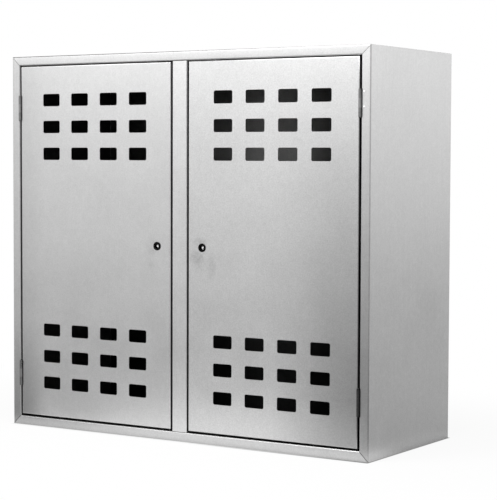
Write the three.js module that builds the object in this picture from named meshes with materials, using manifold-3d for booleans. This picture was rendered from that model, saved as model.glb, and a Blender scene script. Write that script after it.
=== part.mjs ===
// Two-door gas bottle cabinet of folded, galvanised steel sheet, standing free on its floor.
// Millimetres, +Z up, doors towards -Y. The origin is the bottom centre of the whole cabinet.
// The doors are shut and their locks are open, so each door can swing by itself.

import * as THREE from 'three';
import { mergeVertices } from 'three/addons/utils/BufferGeometryUtils.js';
import Module from 'manifold-3d';

const wasm = await Module();
wasm.setup();

// Casing: four folded sheets, mitred where they meet
const CABINET_WIDTH = 1000;
const CABINET_DEPTH = 400;
const CABINET_HEIGHT = 907.5;
const SHEET = 1.5;
const BEND_INSIDE = 1.5;
const SIDE_FACE = 23.3;
const TOP_FACE = 22.3;
const FLOOR_FACE = 23;
const STOP_OVERLAP = 10;
const BACK_FLANGE = 15;
const MITRE_SEAM = 0.8;

// Centre post: a lipped channel between the two doorways
const POST_FACE = 41.6;
const POST_DEPTH = 20.5;
const POST_LIP = 8;
const POST_RELIEF = 8.2;

// Doors: folded trays with two blocks of vent windows
const DOOR_GAP = 4;
const DOOR_HEAD_GAP = 1.7;
const DOOR_FOLD = 20;
const DOOR_LIP = 14;
const STOP_CLEARANCE = 1;
const WINDOW_WIDTH = 50.5;
const WINDOW_HEIGHT = 30;
const WINDOW_CORNER = 4;
const WINDOW_PITCH_ACROSS = 86;
const WINDOW_PITCH_UP = 65;
const WINDOW_MARGIN = 68.2;
const WINDOW_COLUMNS = 4;
const WINDOW_ROWS = 3;

// Hinges: three knuckles on a pin, their leaves riveted in the gap beside the door
const HINGE_LENGTH = 60;
const HINGE_INSET = 102;
const HINGE_SHEET = 1.5;
const PIN_RADIUS = 2.4;
const PIN_CLEARANCE = 0.1;
const PIN_STANDOFF = 1;
const PIN_HEAD_RADIUS = 3.4;
const PIN_HEAD_HEIGHT = 0.8;
const KNUCKLE_GAP = 0.3;
const LEAF_CORNER = 2;
const LEAF_MARGIN = 0.5;
const NOTCH_CLEARANCE = 0.6;
const NOTCH_END_CLEARANCE = 1.4;

// Rivets: a countersunk head in the leaf and a set tail behind the sheet
const RIVET_RADIUS = 1.6;
const RIVET_HEAD_RADIUS = 2.7;
const RIVET_HEAD_DEPTH = 1;
const RIVET_TAIL_RADIUS = 2.5;
const RIVET_TAIL_HEIGHT = 1.2;
const RIVET_SPACING = 34;
const RIVET_CLEARANCE = 0.15;

// Locks: a housing clamped through the door, and a key-turned driver with its cam behind it
const LOCK_INSET = 38.5;
const LOCK_RIM_RADIUS = 10;
const LOCK_RIM_HEIGHT = 1.7;
const LOCK_RIM_ROUND = 0.7;
const LOCK_BARREL_RADIUS = 8.5;
const LOCK_FLAT = 7.5;
const LOCK_HOLE_CLEARANCE = 0.3;
const LOCK_RECESS_RADIUS = 5.8;
const LOCK_RECESS_DEPTH = 8;
const LOCK_NUT_FLATS = 24;
const LOCK_NUT_HEIGHT = 4;
const DRIVER_RADIUS = 4.5;
const DRIVER_CLEARANCE = 0.2;
const DRIVER_COLLAR = 1.4;
const DRIVER_PIN_RADIUS = 3;
const DRIVER_PIN_ROUND = 0.4;
const DRIVER_PIN_SETBACK = 2.4;
const DRIVER_BIT_WIDTH = 2.2;
const DRIVER_BIT_SPAN = 8.4;
const DRIVER_BIT_SETBACK = 3.8;
const DRIVER_SQUARE = 6.2;
const CAM_BEHIND_POST = 1.4;
const CAM_SHEET = 3;
const CAM_LENGTH = 50;
const CAM_BOSS_RADIUS = 9;
const CAM_TIP_RADIUS = 7;
const SCREW_RADIUS = 2;
const SCREW_DEPTH = 9;
const SCREW_FLANGE_RADIUS = 6.5;
const SCREW_FLANGE_HEIGHT = 1;
const SCREW_HEAD_FLATS = 8;
const SCREW_HEAD_HEIGHT = 4;

// Seats between pieces that lie on each other, and how far a cutter runs past its work
const SEAT = 0.2;
const OVERRUN = 5;

// Steps of the faceted curves
const BEND_STEPS = 4;
const CORNER_STEPS = 3;
const BARREL_STEPS = 16;
const RIVET_STEPS = 10;
const LOCK_STEPS = 20;

// Places that follow from the sizes
const BARREL_RADIUS = PIN_RADIUS + PIN_CLEARANCE + HINGE_SHEET;
const PROUD = Math.max(PIN_STANDOFF + BARREL_RADIUS, SEAT + LOCK_RIM_HEIGHT);
const FRONT = (PROUD - CABINET_DEPTH) / 2;
const BEND_OUTSIDE = BEND_INSIDE + SHEET;
const STOP_DEPTH = DOOR_FOLD + STOP_CLEARANCE;
const STOP_REACH = DOOR_GAP + STOP_OVERLAP;
const DOOR_WIDTH = (CABINET_WIDTH - POST_FACE) / 2 - SIDE_FACE - 2 * DOOR_GAP;
const DOOR_HEIGHT = CABINET_HEIGHT - TOP_FACE - FLOOR_FACE - DOOR_GAP - DOOR_HEAD_GAP;
const DOOR_X = (POST_FACE + DOOR_WIDTH) / 2 + DOOR_GAP;
const DOOR_Z = FLOOR_FACE + DOOR_GAP + DOOR_HEIGHT / 2;
const HINGE_X = CABINET_WIDTH / 2 - SIDE_FACE - DOOR_GAP / 2;
const HINGE_RISE = DOOR_HEIGHT / 2 - HINGE_INSET;
const LOCK_X = DOOR_WIDTH / 2 - LOCK_INSET;
const NOTCH_REACH = BARREL_RADIUS + NOTCH_CLEARANCE - DOOR_GAP / 2;
const NOTCH_DEPTH = BARREL_RADIUS - PIN_STANDOFF + NOTCH_CLEARANCE;
const NOTCH_LENGTH = HINGE_LENGTH + 2 * NOTCH_END_CLEARANCE;
const LEAF_END = DOOR_FOLD - BEND_OUTSIDE - LEAF_MARGIN;
const RIVET_DEPTH = (BARREL_RADIUS - PIN_STANDOFF + LEAF_END) / 2;
const RIVET_GRIP = HINGE_SHEET + SEAT + SHEET;
const CAM_DEPTH = POST_DEPTH + CAM_BEHIND_POST;

// Finishes
function finish(color, roughness, metalness) {
  return () => new THREE.MeshStandardMaterial({ color, roughness, metalness });
}

const galvanised = finish('#c3c6c8', 0.42, 0.9);
const zincPlated = finish('#a7abaf', 0.35, 0.95);
const blackCasting = finish('#17181a', 0.45, 0.3);
const brightZinc = finish('#d3d6d8', 0.25, 0.95);

// Outlines, as lists of points

function arc(x, y, radius, from, to, steps) {
  const points = [];
  for (let step = 0; step <= steps; step += 1) {
    const angle = from + ((to - from) * step) / steps;
    points.push(new THREE.Vector2(x + radius * Math.cos(angle), y + radius * Math.sin(angle)));
  }
  return points;
}

function circle(radius, steps, x = 0, y = 0) {
  return arc(x, y, radius, 0, 2 * Math.PI, steps).slice(0, -1);
}

function rectangle(left, bottom, right, top) {
  const corners = [[left, bottom], [right, bottom], [right, top], [left, top]];
  return corners.map(([x, y]) => new THREE.Vector2(x, y));
}

function roundedRectangle(width, height, radius, steps, x = 0, y = 0) {
  const right = width / 2 - radius;
  const top = height / 2 - radius;
  const centres = [[right, top], [-right, top], [-right, -top], [right, -top]];
  return centres.flatMap(([dx, dy], corner) => {
    const from = (corner * Math.PI) / 2;
    return arc(x + dx, y + dy, radius, from, from + Math.PI / 2, steps);
  });
}

function hexagon(flats) {
  return circle(flats / 2 / Math.cos(Math.PI / 6), 6);
}

// A circle with two flats, which keeps the lock from turning in the door
function flattenedCircle(radius, flat, steps, x = 0, y = 0) {
  return circle(radius, steps).map((point) => {
    const height = THREE.MathUtils.clamp(point.y, -flat, flat);
    return new THREE.Vector2(x + point.x, y + height);
  });
}

// One side of a folded sheet: the middle line moved sideways by offset, with an arc at each bend
function foldedSide(middle, offset) {
  const bend = BEND_INSIDE + SHEET / 2;
  const side = [];
  middle.forEach((point, index) => {
    const before = middle[index - 1];
    const after = middle[index + 1];
    const incoming = before && point.clone().sub(before).normalize();
    const outgoing = after && after.clone().sub(point).normalize();
    const along = incoming ?? outgoing;
    const left = new THREE.Vector2(-along.y, along.x);
    if (!incoming || !outgoing) {
      side.push(point.clone().addScaledVector(left, offset));
      return;
    }
    const turn = Math.asin(incoming.cross(outgoing));
    const hand = Math.sign(turn);
    const centre = point.clone()
      .addScaledVector(incoming, -bend * Math.tan(Math.abs(turn) / 2))
      .addScaledVector(left, hand * bend);
    const start = Math.atan2(-hand * left.y, -hand * left.x);
    side.push(...arc(centre.x, centre.y, bend - hand * offset, start, start + turn, BEND_STEPS));
  });
  return side;
}

// The section of a sheet folded along a middle line
function foldedSection(corners) {
  const middle = corners.map(([x, y]) => new THREE.Vector2(x, y));
  return [...foldedSide(middle, SHEET / 2), ...foldedSide(middle, -SHEET / 2).reverse()];
}

// The hole that the lock's flattened barrel passes through
function lockHole(x) {
  const clearance = LOCK_HOLE_CLEARANCE;
  return flattenedCircle(LOCK_BARREL_RADIUS + clearance, LOCK_FLAT + clearance, LOCK_STEPS, x, 0);
}

// Solids

function solidOf(geometry) {
  const bare = geometry.clone();
  bare.deleteAttribute('normal');
  bare.deleteAttribute('uv');
  const merged = mergeVertices(bare);
  return new wasm.Manifold(new wasm.Mesh({
    numProp: 3,
    vertProperties: new Float32Array(merged.attributes.position.array),
    triVerts: new Uint32Array(merged.index.array),
  }));
}

function geometryOf(solid) {
  const { vertProperties, triVerts } = solid.getMesh();
  const geometry = new THREE.BufferGeometry();
  geometry.setAttribute('position', new THREE.BufferAttribute(vertProperties, 3));
  geometry.setIndex(new THREE.BufferAttribute(triVerts, 1));
  geometry.computeVertexNormals();
  return geometry;
}

// An outline swept along an axis: drawn in Y-Z for x, in X-Z for y and in X-Y for z
function sweep(axis, outline, from, to) {
  const shape = new THREE.Shape(outline);
  const geometry = new THREE.ExtrudeGeometry(shape, { depth: to - from, bevelEnabled: false, steps: 1 });
  const x = new THREE.Vector3(1, 0, 0);
  const y = new THREE.Vector3(0, 1, 0);
  const z = new THREE.Vector3(0, 0, 1);
  if (axis === 'x') {
    geometry.applyMatrix4(new THREE.Matrix4().makeBasis(y, z, x));
    geometry.translate(from, 0, 0);
  }
  if (axis === 'y') {
    geometry.applyMatrix4(new THREE.Matrix4().makeBasis(x, z, y.clone().negate()));
    geometry.translate(0, to, 0);
  }
  if (axis === 'z') {
    geometry.translate(0, 0, from);
  }
  return solidOf(geometry);
}

// A profile of radius and height revolved round the Y axis, then laid by a matrix
function turned(profile, steps, lay = new THREE.Matrix4()) {
  const points = profile.map(([radius, height]) => new THREE.Vector2(radius, height));
  return solidOf(new THREE.LatheGeometry(points, steps).applyMatrix4(lay));
}

function union(solids) {
  return solids.reduce((all, solid) => all.add(solid));
}

function cutEach(body, cutters) {
  return cutters.reduce((left, cutter) => left.subtract(cutter), body);
}

function piece(name, solid, material) {
  const mesh = new THREE.Mesh(geometryOf(solid), material());
  mesh.name = name;
  return mesh;
}

function place(object, x, y, z) {
  object.position.set(x, y, z);
  return object;
}

function group(...children) {
  const all = new THREE.Group();
  all.add(...children);
  return all;
}

// Casing panels lie along X with the outer face at z = 0, the front at y = 0 and the inside below

// The length of a panel, mitred through the corners where its face meets its neighbours' faces
function mitredLength(length, face, faceBefore, faceAfter) {
  const inner = face + STOP_REACH + OVERRUN;
  const end = (neighbour, inward) => length / 2 - MITRE_SEAM / 2 - (neighbour / face) * inward;
  const outline = [
    [-end(faceBefore, inner), -inner],
    [end(faceAfter, inner), -inner],
    [end(faceAfter, -OVERRUN), OVERRUN],
    [-end(faceBefore, -OVERRUN), OVERRUN],
  ].map(([x, z]) => new THREE.Vector2(x, z));
  return sweep('y', outline, -OVERRUN, CABINET_DEPTH + OVERRUN);
}

// Back flange, outer sheet, front face, jamb and door stop, folded from one sheet
function casingPanel(length, face, faceBefore, faceAfter) {
  const half = SHEET / 2;
  const section = foldedSection([
    [CABINET_DEPTH - half, -BACK_FLANGE],
    [CABINET_DEPTH - half, -half],
    [half, -half],
    [half, half - face],
    [STOP_DEPTH + half, half - face],
    [STOP_DEPTH + half, -face - STOP_REACH],
  ]);
  const sheet = sweep('x', section, -length / 2, length / 2);
  return sheet.intersect(mitredLength(length, face, faceBefore, faceAfter));
}

// The door stop is cut back round the post
function postRelief(face) {
  const reach = POST_FACE / 2 + POST_RELIEF;
  const depth = STOP_DEPTH - BEND_INSIDE;
  const outline = rectangle(depth, -face - STOP_REACH - OVERRUN, depth + BEND_OUTSIDE + OVERRUN, -face);
  return sweep('x', outline, -reach, reach);
}

function topPanel() {
  const panel = casingPanel(CABINET_WIDTH, TOP_FACE, SIDE_FACE, SIDE_FACE).subtract(postRelief(TOP_FACE));
  return place(piece('top_panel', panel, galvanised), 0, FRONT, CABINET_HEIGHT);
}

function floorPanel() {
  const panel = casingPanel(CABINET_WIDTH, FLOOR_FACE, SIDE_FACE, SIDE_FACE).subtract(postRelief(FLOOR_FACE));
  const mesh = place(piece('floor_panel', panel, galvanised), 0, FRONT, 0);
  mesh.rotation.y = Math.PI;
  return mesh;
}

// Side 1 is the right and -1 the left
function sidePanel(name, side) {
  const [before, after] = side > 0 ? [TOP_FACE, FLOOR_FACE] : [FLOOR_FACE, TOP_FACE];
  const cutters = [-HINGE_RISE, HINGE_RISE].flatMap((rise) => {
    const middle = side * (CABINET_HEIGHT / 2 - DOOR_Z - rise);
    const notch = rectangle(
      middle - NOTCH_LENGTH / 2, -SIDE_FACE - OVERRUN, middle + NOTCH_LENGTH / 2, NOTCH_REACH - SIDE_FACE,
    );
    const rivetHoles = [-RIVET_SPACING / 2, RIVET_SPACING / 2].map((offset) => {
      const hole = circle(RIVET_RADIUS + RIVET_CLEARANCE, RIVET_STEPS, middle + offset, RIVET_DEPTH);
      return sweep('z', hole, -SIDE_FACE - OVERRUN, BEND_OUTSIDE - SIDE_FACE);
    });
    return [sweep('y', notch, -OVERRUN, NOTCH_DEPTH), ...rivetHoles];
  });
  const panel = cutEach(casingPanel(CABINET_HEIGHT, SIDE_FACE, before, after), cutters);
  const mesh = place(piece(name, panel, galvanised), (side * CABINET_WIDTH) / 2, FRONT, CABINET_HEIGHT / 2);
  mesh.rotation.y = (side * Math.PI) / 2;
  return mesh;
}

// A flat sheet inside the back flanges
function backPanel() {
  const edge = BEND_OUTSIDE + SEAT;
  const outline = rectangle(edge - CABINET_WIDTH / 2, edge, CABINET_WIDTH / 2 - edge, CABINET_HEIGHT - edge);
  const back = CABINET_DEPTH - SHEET - SEAT;
  return place(piece('back_panel', sweep('y', outline, back - SHEET, back), galvanised), 0, FRONT, 0);
}

function centrePost() {
  const half = SHEET / 2;
  const side = POST_FACE / 2;
  const section = foldedSection([
    [POST_LIP - side, POST_DEPTH - half],
    [half - side, POST_DEPTH - half],
    [half - side, half],
    [side - half, half],
    [side - half, POST_DEPTH - half],
    [side - POST_LIP, POST_DEPTH - half],
  ]);
  const post = sweep('z', section, FLOOR_FACE + SEAT, CABINET_HEIGHT - TOP_FACE - SEAT);
  return place(piece('centre_post', post, galvanised), 0, FRONT, 0);
}

// Doors lie round their own middle, with the outer face at y = 0 and the hinged edge at side * X

function foldedBox(width, height, depth, radius, setback) {
  const upright = roundedRectangle(width, depth, radius, BEND_STEPS, 0, setback + depth / 2);
  const across = roundedRectangle(depth, height, radius, BEND_STEPS, setback + depth / 2, 0);
  return sweep('z', upright, -height / 2, height / 2).intersect(sweep('x', across, -width / 2, width / 2));
}

// Every window of one door, as cutters
function doorWindows() {
  const cutters = [];
  for (let row = 0; row < WINDOW_ROWS; row += 1) {
    const rise = DOOR_HEIGHT / 2 - WINDOW_MARGIN - WINDOW_HEIGHT / 2 - row * WINDOW_PITCH_UP;
    for (let column = 0; column < WINDOW_COLUMNS; column += 1) {
      const across = (column - (WINDOW_COLUMNS - 1) / 2) * WINDOW_PITCH_ACROSS;
      [rise, -rise].forEach((z) => {
        const outline = roundedRectangle(WINDOW_WIDTH, WINDOW_HEIGHT, WINDOW_CORNER, CORNER_STEPS, across, z);
        cutters.push(sweep('y', outline, -OVERRUN, BEND_OUTSIDE));
      });
    }
  }
  return cutters;
}

// The notches that the barrels lie in, and the holes for their rivets
function doorHingeCuts(side) {
  const edge = (side * DOOR_WIDTH) / 2;
  return [-HINGE_RISE, HINGE_RISE].flatMap((rise) => {
    const ends = [edge - side * NOTCH_REACH, edge + side * OVERRUN].sort((a, b) => a - b);
    const notch = rectangle(ends[0], rise - NOTCH_LENGTH / 2, ends[1], rise + NOTCH_LENGTH / 2);
    const rivetHoles = [-RIVET_SPACING / 2, RIVET_SPACING / 2].map((offset) => {
      const hole = circle(RIVET_RADIUS + RIVET_CLEARANCE, RIVET_STEPS, RIVET_DEPTH, rise + offset);
      const through = [edge - side * BEND_OUTSIDE, edge + side * OVERRUN].sort((a, b) => a - b);
      return sweep('x', hole, ...through);
    });
    return [sweep('y', notch, -OVERRUN, NOTCH_DEPTH), ...rivetHoles];
  });
}

function doorPanel(name, side) {
  const outside = foldedBox(DOOR_WIDTH, DOOR_HEIGHT, DOOR_FOLD, BEND_OUTSIDE, 0);
  const inside = foldedBox(
    DOOR_WIDTH - 2 * SHEET, DOOR_HEIGHT - 2 * SHEET, DOOR_FOLD - 2 * SHEET, BEND_INSIDE, SHEET,
  );
  const openX = DOOR_WIDTH / 2 - DOOR_LIP;
  const openZ = DOOR_HEIGHT / 2 - DOOR_LIP;
  const open = sweep('y', rectangle(-openX, -openZ, openX, openZ), DOOR_FOLD / 2, DOOR_FOLD + OVERRUN);
  const hole = sweep('y', lockHole(-side * LOCK_X), -OVERRUN, BEND_OUTSIDE);
  const tray = cutEach(outside, [inside, open, hole]);
  return piece(name, cutEach(tray, [...doorWindows(), ...doorHingeCuts(side)]), galvanised);
}

// Hinges lie round their pin's middle, with the door towards toDoor * X

const KNUCKLE = HINGE_LENGTH / 3;
const MIDDLE_KNUCKLE = [[-KNUCKLE / 2, KNUCKLE / 2]];
const END_KNUCKLES = [[-HINGE_LENGTH / 2, -KNUCKLE / 2], [KNUCKLE / 2, HINGE_LENGTH / 2]];

function knuckle([low, high]) {
  const trim = KNUCKLE_GAP / 2;
  const ring = sweep('z', circle(BARREL_RADIUS, BARREL_STEPS), low + trim, high - trim);
  const bore = circle(PIN_RADIUS + PIN_CLEARANCE, BARREL_STEPS);
  return ring.subtract(sweep('z', bore, low - OVERRUN, high + OVERRUN));
}

// The rivet's own profile along its axis, from the head's face into the sheet
function rivetProfile(extra, head) {
  return [
    [0, -head],
    [RIVET_HEAD_RADIUS + extra, -head],
    [RIVET_HEAD_RADIUS + extra, extra],
    [RIVET_RADIUS + extra, RIVET_HEAD_DEPTH],
    [RIVET_RADIUS + extra, RIVET_GRIP + SEAT],
  ];
}

function rivet(name) {
  const tail = RIVET_GRIP + SEAT;
  const profile = [
    ...rivetProfile(0, 0).slice(0, 2),
    ...rivetProfile(0, 0).slice(3),
    [RIVET_TAIL_RADIUS, tail],
    [RIVET_TAIL_RADIUS, tail + RIVET_TAIL_HEIGHT / 2],
    [RIVET_RADIUS, tail + RIVET_TAIL_HEIGHT],
    [0, tail + RIVET_TAIL_HEIGHT],
  ];
  return piece(name, turned(profile, RIVET_STEPS), zincPlated);
}

// A leaf is a comb: it runs to the barrel at its own knuckles and stops short of the other's
function hingeLeaf(own, others, toSheet) {
  const near = DOOR_GAP / 2 - SEAT - HINGE_SHEET;
  const far = DOOR_GAP / 2 - SEAT;
  const bore = Math.sqrt((PIN_RADIUS + PIN_CLEARANCE) ** 2 - near ** 2);
  const skin = Math.sqrt(BARREL_RADIUS ** 2 - far ** 2);
  const root = (bore + skin) / 2;
  const end = PIN_STANDOFF + LEAF_END;
  const back = (root + end) / 2;
  const flat = roundedRectangle(end - root, HINGE_LENGTH - KNUCKLE_GAP, LEAF_CORNER, CORNER_STEPS, back, 0);
  const sheet = rectangle(root, (KNUCKLE_GAP - HINGE_LENGTH) / 2, back, (HINGE_LENGTH - KNUCKLE_GAP) / 2);
  const across = toSheet > 0 ? [near, far] : [-far, -near];
  const clear = BARREL_RADIUS + NOTCH_CLEARANCE;
  const slots = others.map(([low, high]) => {
    const trim = KNUCKLE_GAP / 2;
    return sweep('x', rectangle(root - OVERRUN, low - trim, clear, high + trim), -OVERRUN, OVERRUN);
  });
  const holes = [-RIVET_SPACING / 2, RIVET_SPACING / 2].map((offset) => {
    const lay = new THREE.Matrix4().makeRotationZ((-toSheet * Math.PI) / 2);
    lay.setPosition(toSheet * near, PIN_STANDOFF + RIVET_DEPTH, offset);
    return turned([...rivetProfile(RIVET_CLEARANCE, OVERRUN), [0, RIVET_GRIP + SEAT]], RIVET_STEPS, lay);
  });
  const leaf = cutEach(sweep('x', flat, ...across).add(sweep('x', sheet, ...across)), [...slots, ...holes]);
  return union([leaf, ...own.map(knuckle)]);
}

function hingePin() {
  const half = HINGE_LENGTH / 2;
  const head = half + SEAT;
  return turned([
    [0, -half],
    [PIN_RADIUS - PIN_CLEARANCE, -half],
    [PIN_RADIUS, PIN_CLEARANCE - half],
    [PIN_RADIUS, head],
    [PIN_HEAD_RADIUS, head],
    [PIN_HEAD_RADIUS, head + PIN_HEAD_HEIGHT / 2],
    [PIN_RADIUS, head + PIN_HEAD_HEIGHT],
    [0, head + PIN_HEAD_HEIGHT],
  ], BARREL_STEPS, new THREE.Matrix4().makeRotationX(Math.PI / 2));
}

// A pair of rivets through a leaf that lies towards toSheet * X of the pin
function leafRivets(name, toSheet) {
  const near = DOOR_GAP / 2 - SEAT - HINGE_SHEET;
  return ['lower', 'upper'].map((level, index) => {
    const mesh = rivet(`${name}_${level}_rivet`);
    mesh.rotation.z = (-toSheet * Math.PI) / 2;
    const rise = (index - 1 / 2) * RIVET_SPACING;
    return place(mesh, toSheet * near, PIN_STANDOFF + RIVET_DEPTH, rise);
  });
}

function fixedHingeHalf(name, toDoor) {
  const leaf = hingeLeaf(END_KNUCKLES, MIDDLE_KNUCKLE, -toDoor);
  return group(
    piece(`${name}_frame_leaf`, leaf, zincPlated),
    piece(`${name}_pin`, hingePin(), zincPlated),
    ...leafRivets(`${name}_frame`, -toDoor),
  );
}

function doorHingeHalf(name, toDoor) {
  const leaf = hingeLeaf(MIDDLE_KNUCKLE, END_KNUCKLES, toDoor);
  return group(piece(`${name}_door_leaf`, leaf, zincPlated), ...leafRivets(`${name}_door`, toDoor));
}

// Locks lie round their own axis, Y, with the door's outer face at y = 0

function lockHousing() {
  const end = CAM_DEPTH - SEAT;
  const rim = turned([
    [0, -SEAT - LOCK_RIM_HEIGHT],
    [LOCK_RIM_RADIUS - LOCK_RIM_ROUND, -SEAT - LOCK_RIM_HEIGHT],
    [LOCK_RIM_RADIUS, -SEAT - LOCK_RIM_HEIGHT + LOCK_RIM_ROUND],
    [LOCK_RIM_RADIUS, -SEAT],
    [0, -SEAT],
  ], LOCK_STEPS);
  const round = flattenedCircle(LOCK_BARREL_RADIUS, LOCK_FLAT, LOCK_STEPS);
  const barrel = sweep('y', round, -SEAT - LOCK_RIM_ROUND, end);
  const recess = sweep('y', circle(LOCK_RECESS_RADIUS, LOCK_STEPS), -OVERRUN, LOCK_RECESS_DEPTH);
  const bore = sweep('y', circle(DRIVER_RADIUS + DRIVER_CLEARANCE, LOCK_STEPS), -OVERRUN, end + OVERRUN);
  return cutEach(rim.add(barrel), [recess, bore]);
}

function lockNut() {
  const front = SHEET + SEAT;
  const nut = sweep('y', hexagon(LOCK_NUT_FLATS), front, front + LOCK_NUT_HEIGHT);
  return nut.subtract(sweep('y', lockHole(0), -OVERRUN, front + LOCK_NUT_HEIGHT + OVERRUN));
}

// The key fits over the pin and its two bits
function lockDriver() {
  const collarBack = LOCK_RECESS_DEPTH - SEAT;
  const collarFront = collarBack - DRIVER_COLLAR;
  const end = CAM_DEPTH + CAM_SHEET;
  const stem = turned([
    [0, DRIVER_PIN_SETBACK],
    [DRIVER_PIN_RADIUS - DRIVER_PIN_ROUND, DRIVER_PIN_SETBACK],
    [DRIVER_PIN_RADIUS, DRIVER_PIN_SETBACK + DRIVER_PIN_ROUND],
    [DRIVER_PIN_RADIUS, collarFront],
    [LOCK_RECESS_RADIUS - 2 * DRIVER_CLEARANCE, collarFront],
    [LOCK_RECESS_RADIUS - 2 * DRIVER_CLEARANCE, collarBack],
    [DRIVER_RADIUS, collarBack],
    [DRIVER_RADIUS, CAM_DEPTH - SEAT],
    [0, CAM_DEPTH - SEAT],
  ], LOCK_STEPS);
  const bitX = DRIVER_BIT_WIDTH / 2;
  const bitZ = DRIVER_BIT_SPAN / 2;
  const bits = sweep('y', rectangle(-bitX, -bitZ, bitX, bitZ), DRIVER_BIT_SETBACK, collarBack);
  const half = DRIVER_SQUARE / 2;
  const square = sweep('y', rectangle(-half, -half, half, half), collarBack, end);
  const thread = circle(SCREW_RADIUS + DRIVER_CLEARANCE, LOCK_STEPS / 2);
  return union([stem, bits, square]).subtract(sweep('y', thread, end - SCREW_DEPTH, end + OVERRUN));
}

// The cam hangs down while the lock is open
function lockCam() {
  const tip = CAM_TIP_RADIUS - CAM_LENGTH;
  const outline = [
    ...arc(0, 0, CAM_BOSS_RADIUS, 0, Math.PI, LOCK_STEPS / 2),
    ...arc(0, tip, CAM_TIP_RADIUS, Math.PI, 2 * Math.PI, LOCK_STEPS / 2),
  ];
  const half = DRIVER_SQUARE / 2 + DRIVER_CLEARANCE;
  const hole = sweep('y', rectangle(-half, -half, half, half), -OVERRUN, CAM_DEPTH + CAM_SHEET + OVERRUN);
  return sweep('y', outline, CAM_DEPTH, CAM_DEPTH + CAM_SHEET).subtract(hole);
}

function camScrew() {
  const seat = CAM_DEPTH + CAM_SHEET + SEAT;
  const flangeBack = seat + SCREW_FLANGE_HEIGHT;
  const shank = sweep('y', circle(SCREW_RADIUS, LOCK_STEPS / 2), seat - SCREW_DEPTH + SEAT, flangeBack);
  const flange = sweep('y', circle(SCREW_FLANGE_RADIUS, LOCK_STEPS), seat, flangeBack);
  const head = sweep('y', hexagon(SCREW_HEAD_FLATS), seat, seat + SCREW_HEAD_HEIGHT + SCREW_FLANGE_HEIGHT);
  return union([shank, flange, head]);
}

function lockTurningParts(name) {
  return group(
    piece(`${name}_lock_driver`, lockDriver(), brightZinc),
    piece(`${name}_lock_cam`, lockCam(), zincPlated),
    piece(`${name}_lock_cam_screw`, camScrew(), zincPlated),
  );
}

function lockFixedParts(name) {
  return group(
    piece(`${name}_lock_housing`, lockHousing(), blackCasting),
    piece(`${name}_lock_nut`, lockNut(), zincPlated),
  );
}

// A door with its half of each hinge and its lock
function doorAssembly(name, side) {
  const door = group(doorPanel(`${name}_door_panel`, side));
  ['lower', 'upper'].forEach((level, index) => {
    const half = doorHingeHalf(`${name}_${level}_hinge`, -side);
    const rise = (2 * index - 1) * HINGE_RISE;
    door.add(place(half, (side * (DOOR_WIDTH + DOOR_GAP)) / 2, -PIN_STANDOFF, rise));
  });
  const lock = group(lockFixedParts(name), lockTurningParts(name));
  door.add(place(lock, -side * LOCK_X, 0, 0));
  return place(door, side * DOOR_X, FRONT, DOOR_Z);
}

function casing() {
  const all = group(
    topPanel(), floorPanel(), sidePanel('left_side_panel', -1), sidePanel('right_side_panel', 1),
    backPanel(), centrePost(),
  );
  [['left', -1], ['right', 1]].forEach(([name, side]) => {
    ['lower', 'upper'].forEach((level, index) => {
      const half = fixedHingeHalf(`${name}_${level}_hinge`, -side);
      const rise = (2 * index - 1) * HINGE_RISE;
      all.add(place(half, side * HINGE_X, FRONT - PIN_STANDOFF, DOOR_Z + rise));
    });
  });
  return all;
}

const cabinet = group(casing(), doorAssembly('left', -1), doorAssembly('right', 1));
cabinet.name = 'gas_bottle_cabinet';

export default cabinet;
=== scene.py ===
import math

import bmesh
import bpy
from mathutils import Matrix, Vector


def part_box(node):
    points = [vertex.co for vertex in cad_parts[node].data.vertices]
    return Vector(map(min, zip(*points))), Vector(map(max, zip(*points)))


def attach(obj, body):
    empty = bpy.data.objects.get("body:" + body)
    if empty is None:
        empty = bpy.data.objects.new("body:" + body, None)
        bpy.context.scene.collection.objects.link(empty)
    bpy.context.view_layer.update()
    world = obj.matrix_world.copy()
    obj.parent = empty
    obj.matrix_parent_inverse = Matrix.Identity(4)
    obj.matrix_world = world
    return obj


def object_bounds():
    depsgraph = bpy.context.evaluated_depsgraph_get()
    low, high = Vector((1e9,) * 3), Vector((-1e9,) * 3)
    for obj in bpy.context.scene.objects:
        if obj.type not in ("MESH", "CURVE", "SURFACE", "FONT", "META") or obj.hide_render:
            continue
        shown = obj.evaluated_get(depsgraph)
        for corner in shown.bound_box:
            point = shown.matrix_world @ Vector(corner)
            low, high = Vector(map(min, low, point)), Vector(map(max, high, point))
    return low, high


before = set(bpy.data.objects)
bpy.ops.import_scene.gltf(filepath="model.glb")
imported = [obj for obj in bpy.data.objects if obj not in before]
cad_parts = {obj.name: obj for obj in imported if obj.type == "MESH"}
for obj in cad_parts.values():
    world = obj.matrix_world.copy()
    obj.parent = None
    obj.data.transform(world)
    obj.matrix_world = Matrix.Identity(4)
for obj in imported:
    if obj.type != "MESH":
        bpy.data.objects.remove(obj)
cad_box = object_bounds()

# Lengths are in metres, or in millimetres times MM
MM = 0.001
BOX_LOW, BOX_HIGH = (Vector(corner) for corner in cad_box)

# Camera: its place, turn, tilt and roll, and its lens on a 36 mm sensor
CAMERA_PLACE = Vector((2242.6, -3441.9, 663.3)) * MM
CAMERA_TURN = math.radians(32.323)
CAMERA_TILT = math.radians(-3.117)
CAMERA_ROLL = math.radians(0.201)
CAMERA_LENS = 122.5
CAMERA_SENSOR = 36

# Paper floor: near the object this share of it is plain background, and the rest takes the shadow.
# From PAPER_CLEAR_REACH outwards all of it is background
PAPER_SIZE = 14
PAPER_COLOUR = "#f2f2f2"
WHITE = "#ffffff"
PAPER_GLOW_SHARE = 0.92
PAPER_CLEAR_REACH = 0.9

# A soft patch is even up to this share of its radius. It reaches so deep into a face that only its
# two other directions count
PATCH_EDGE = 0.3
PATCH_DEPTH = 1

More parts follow.
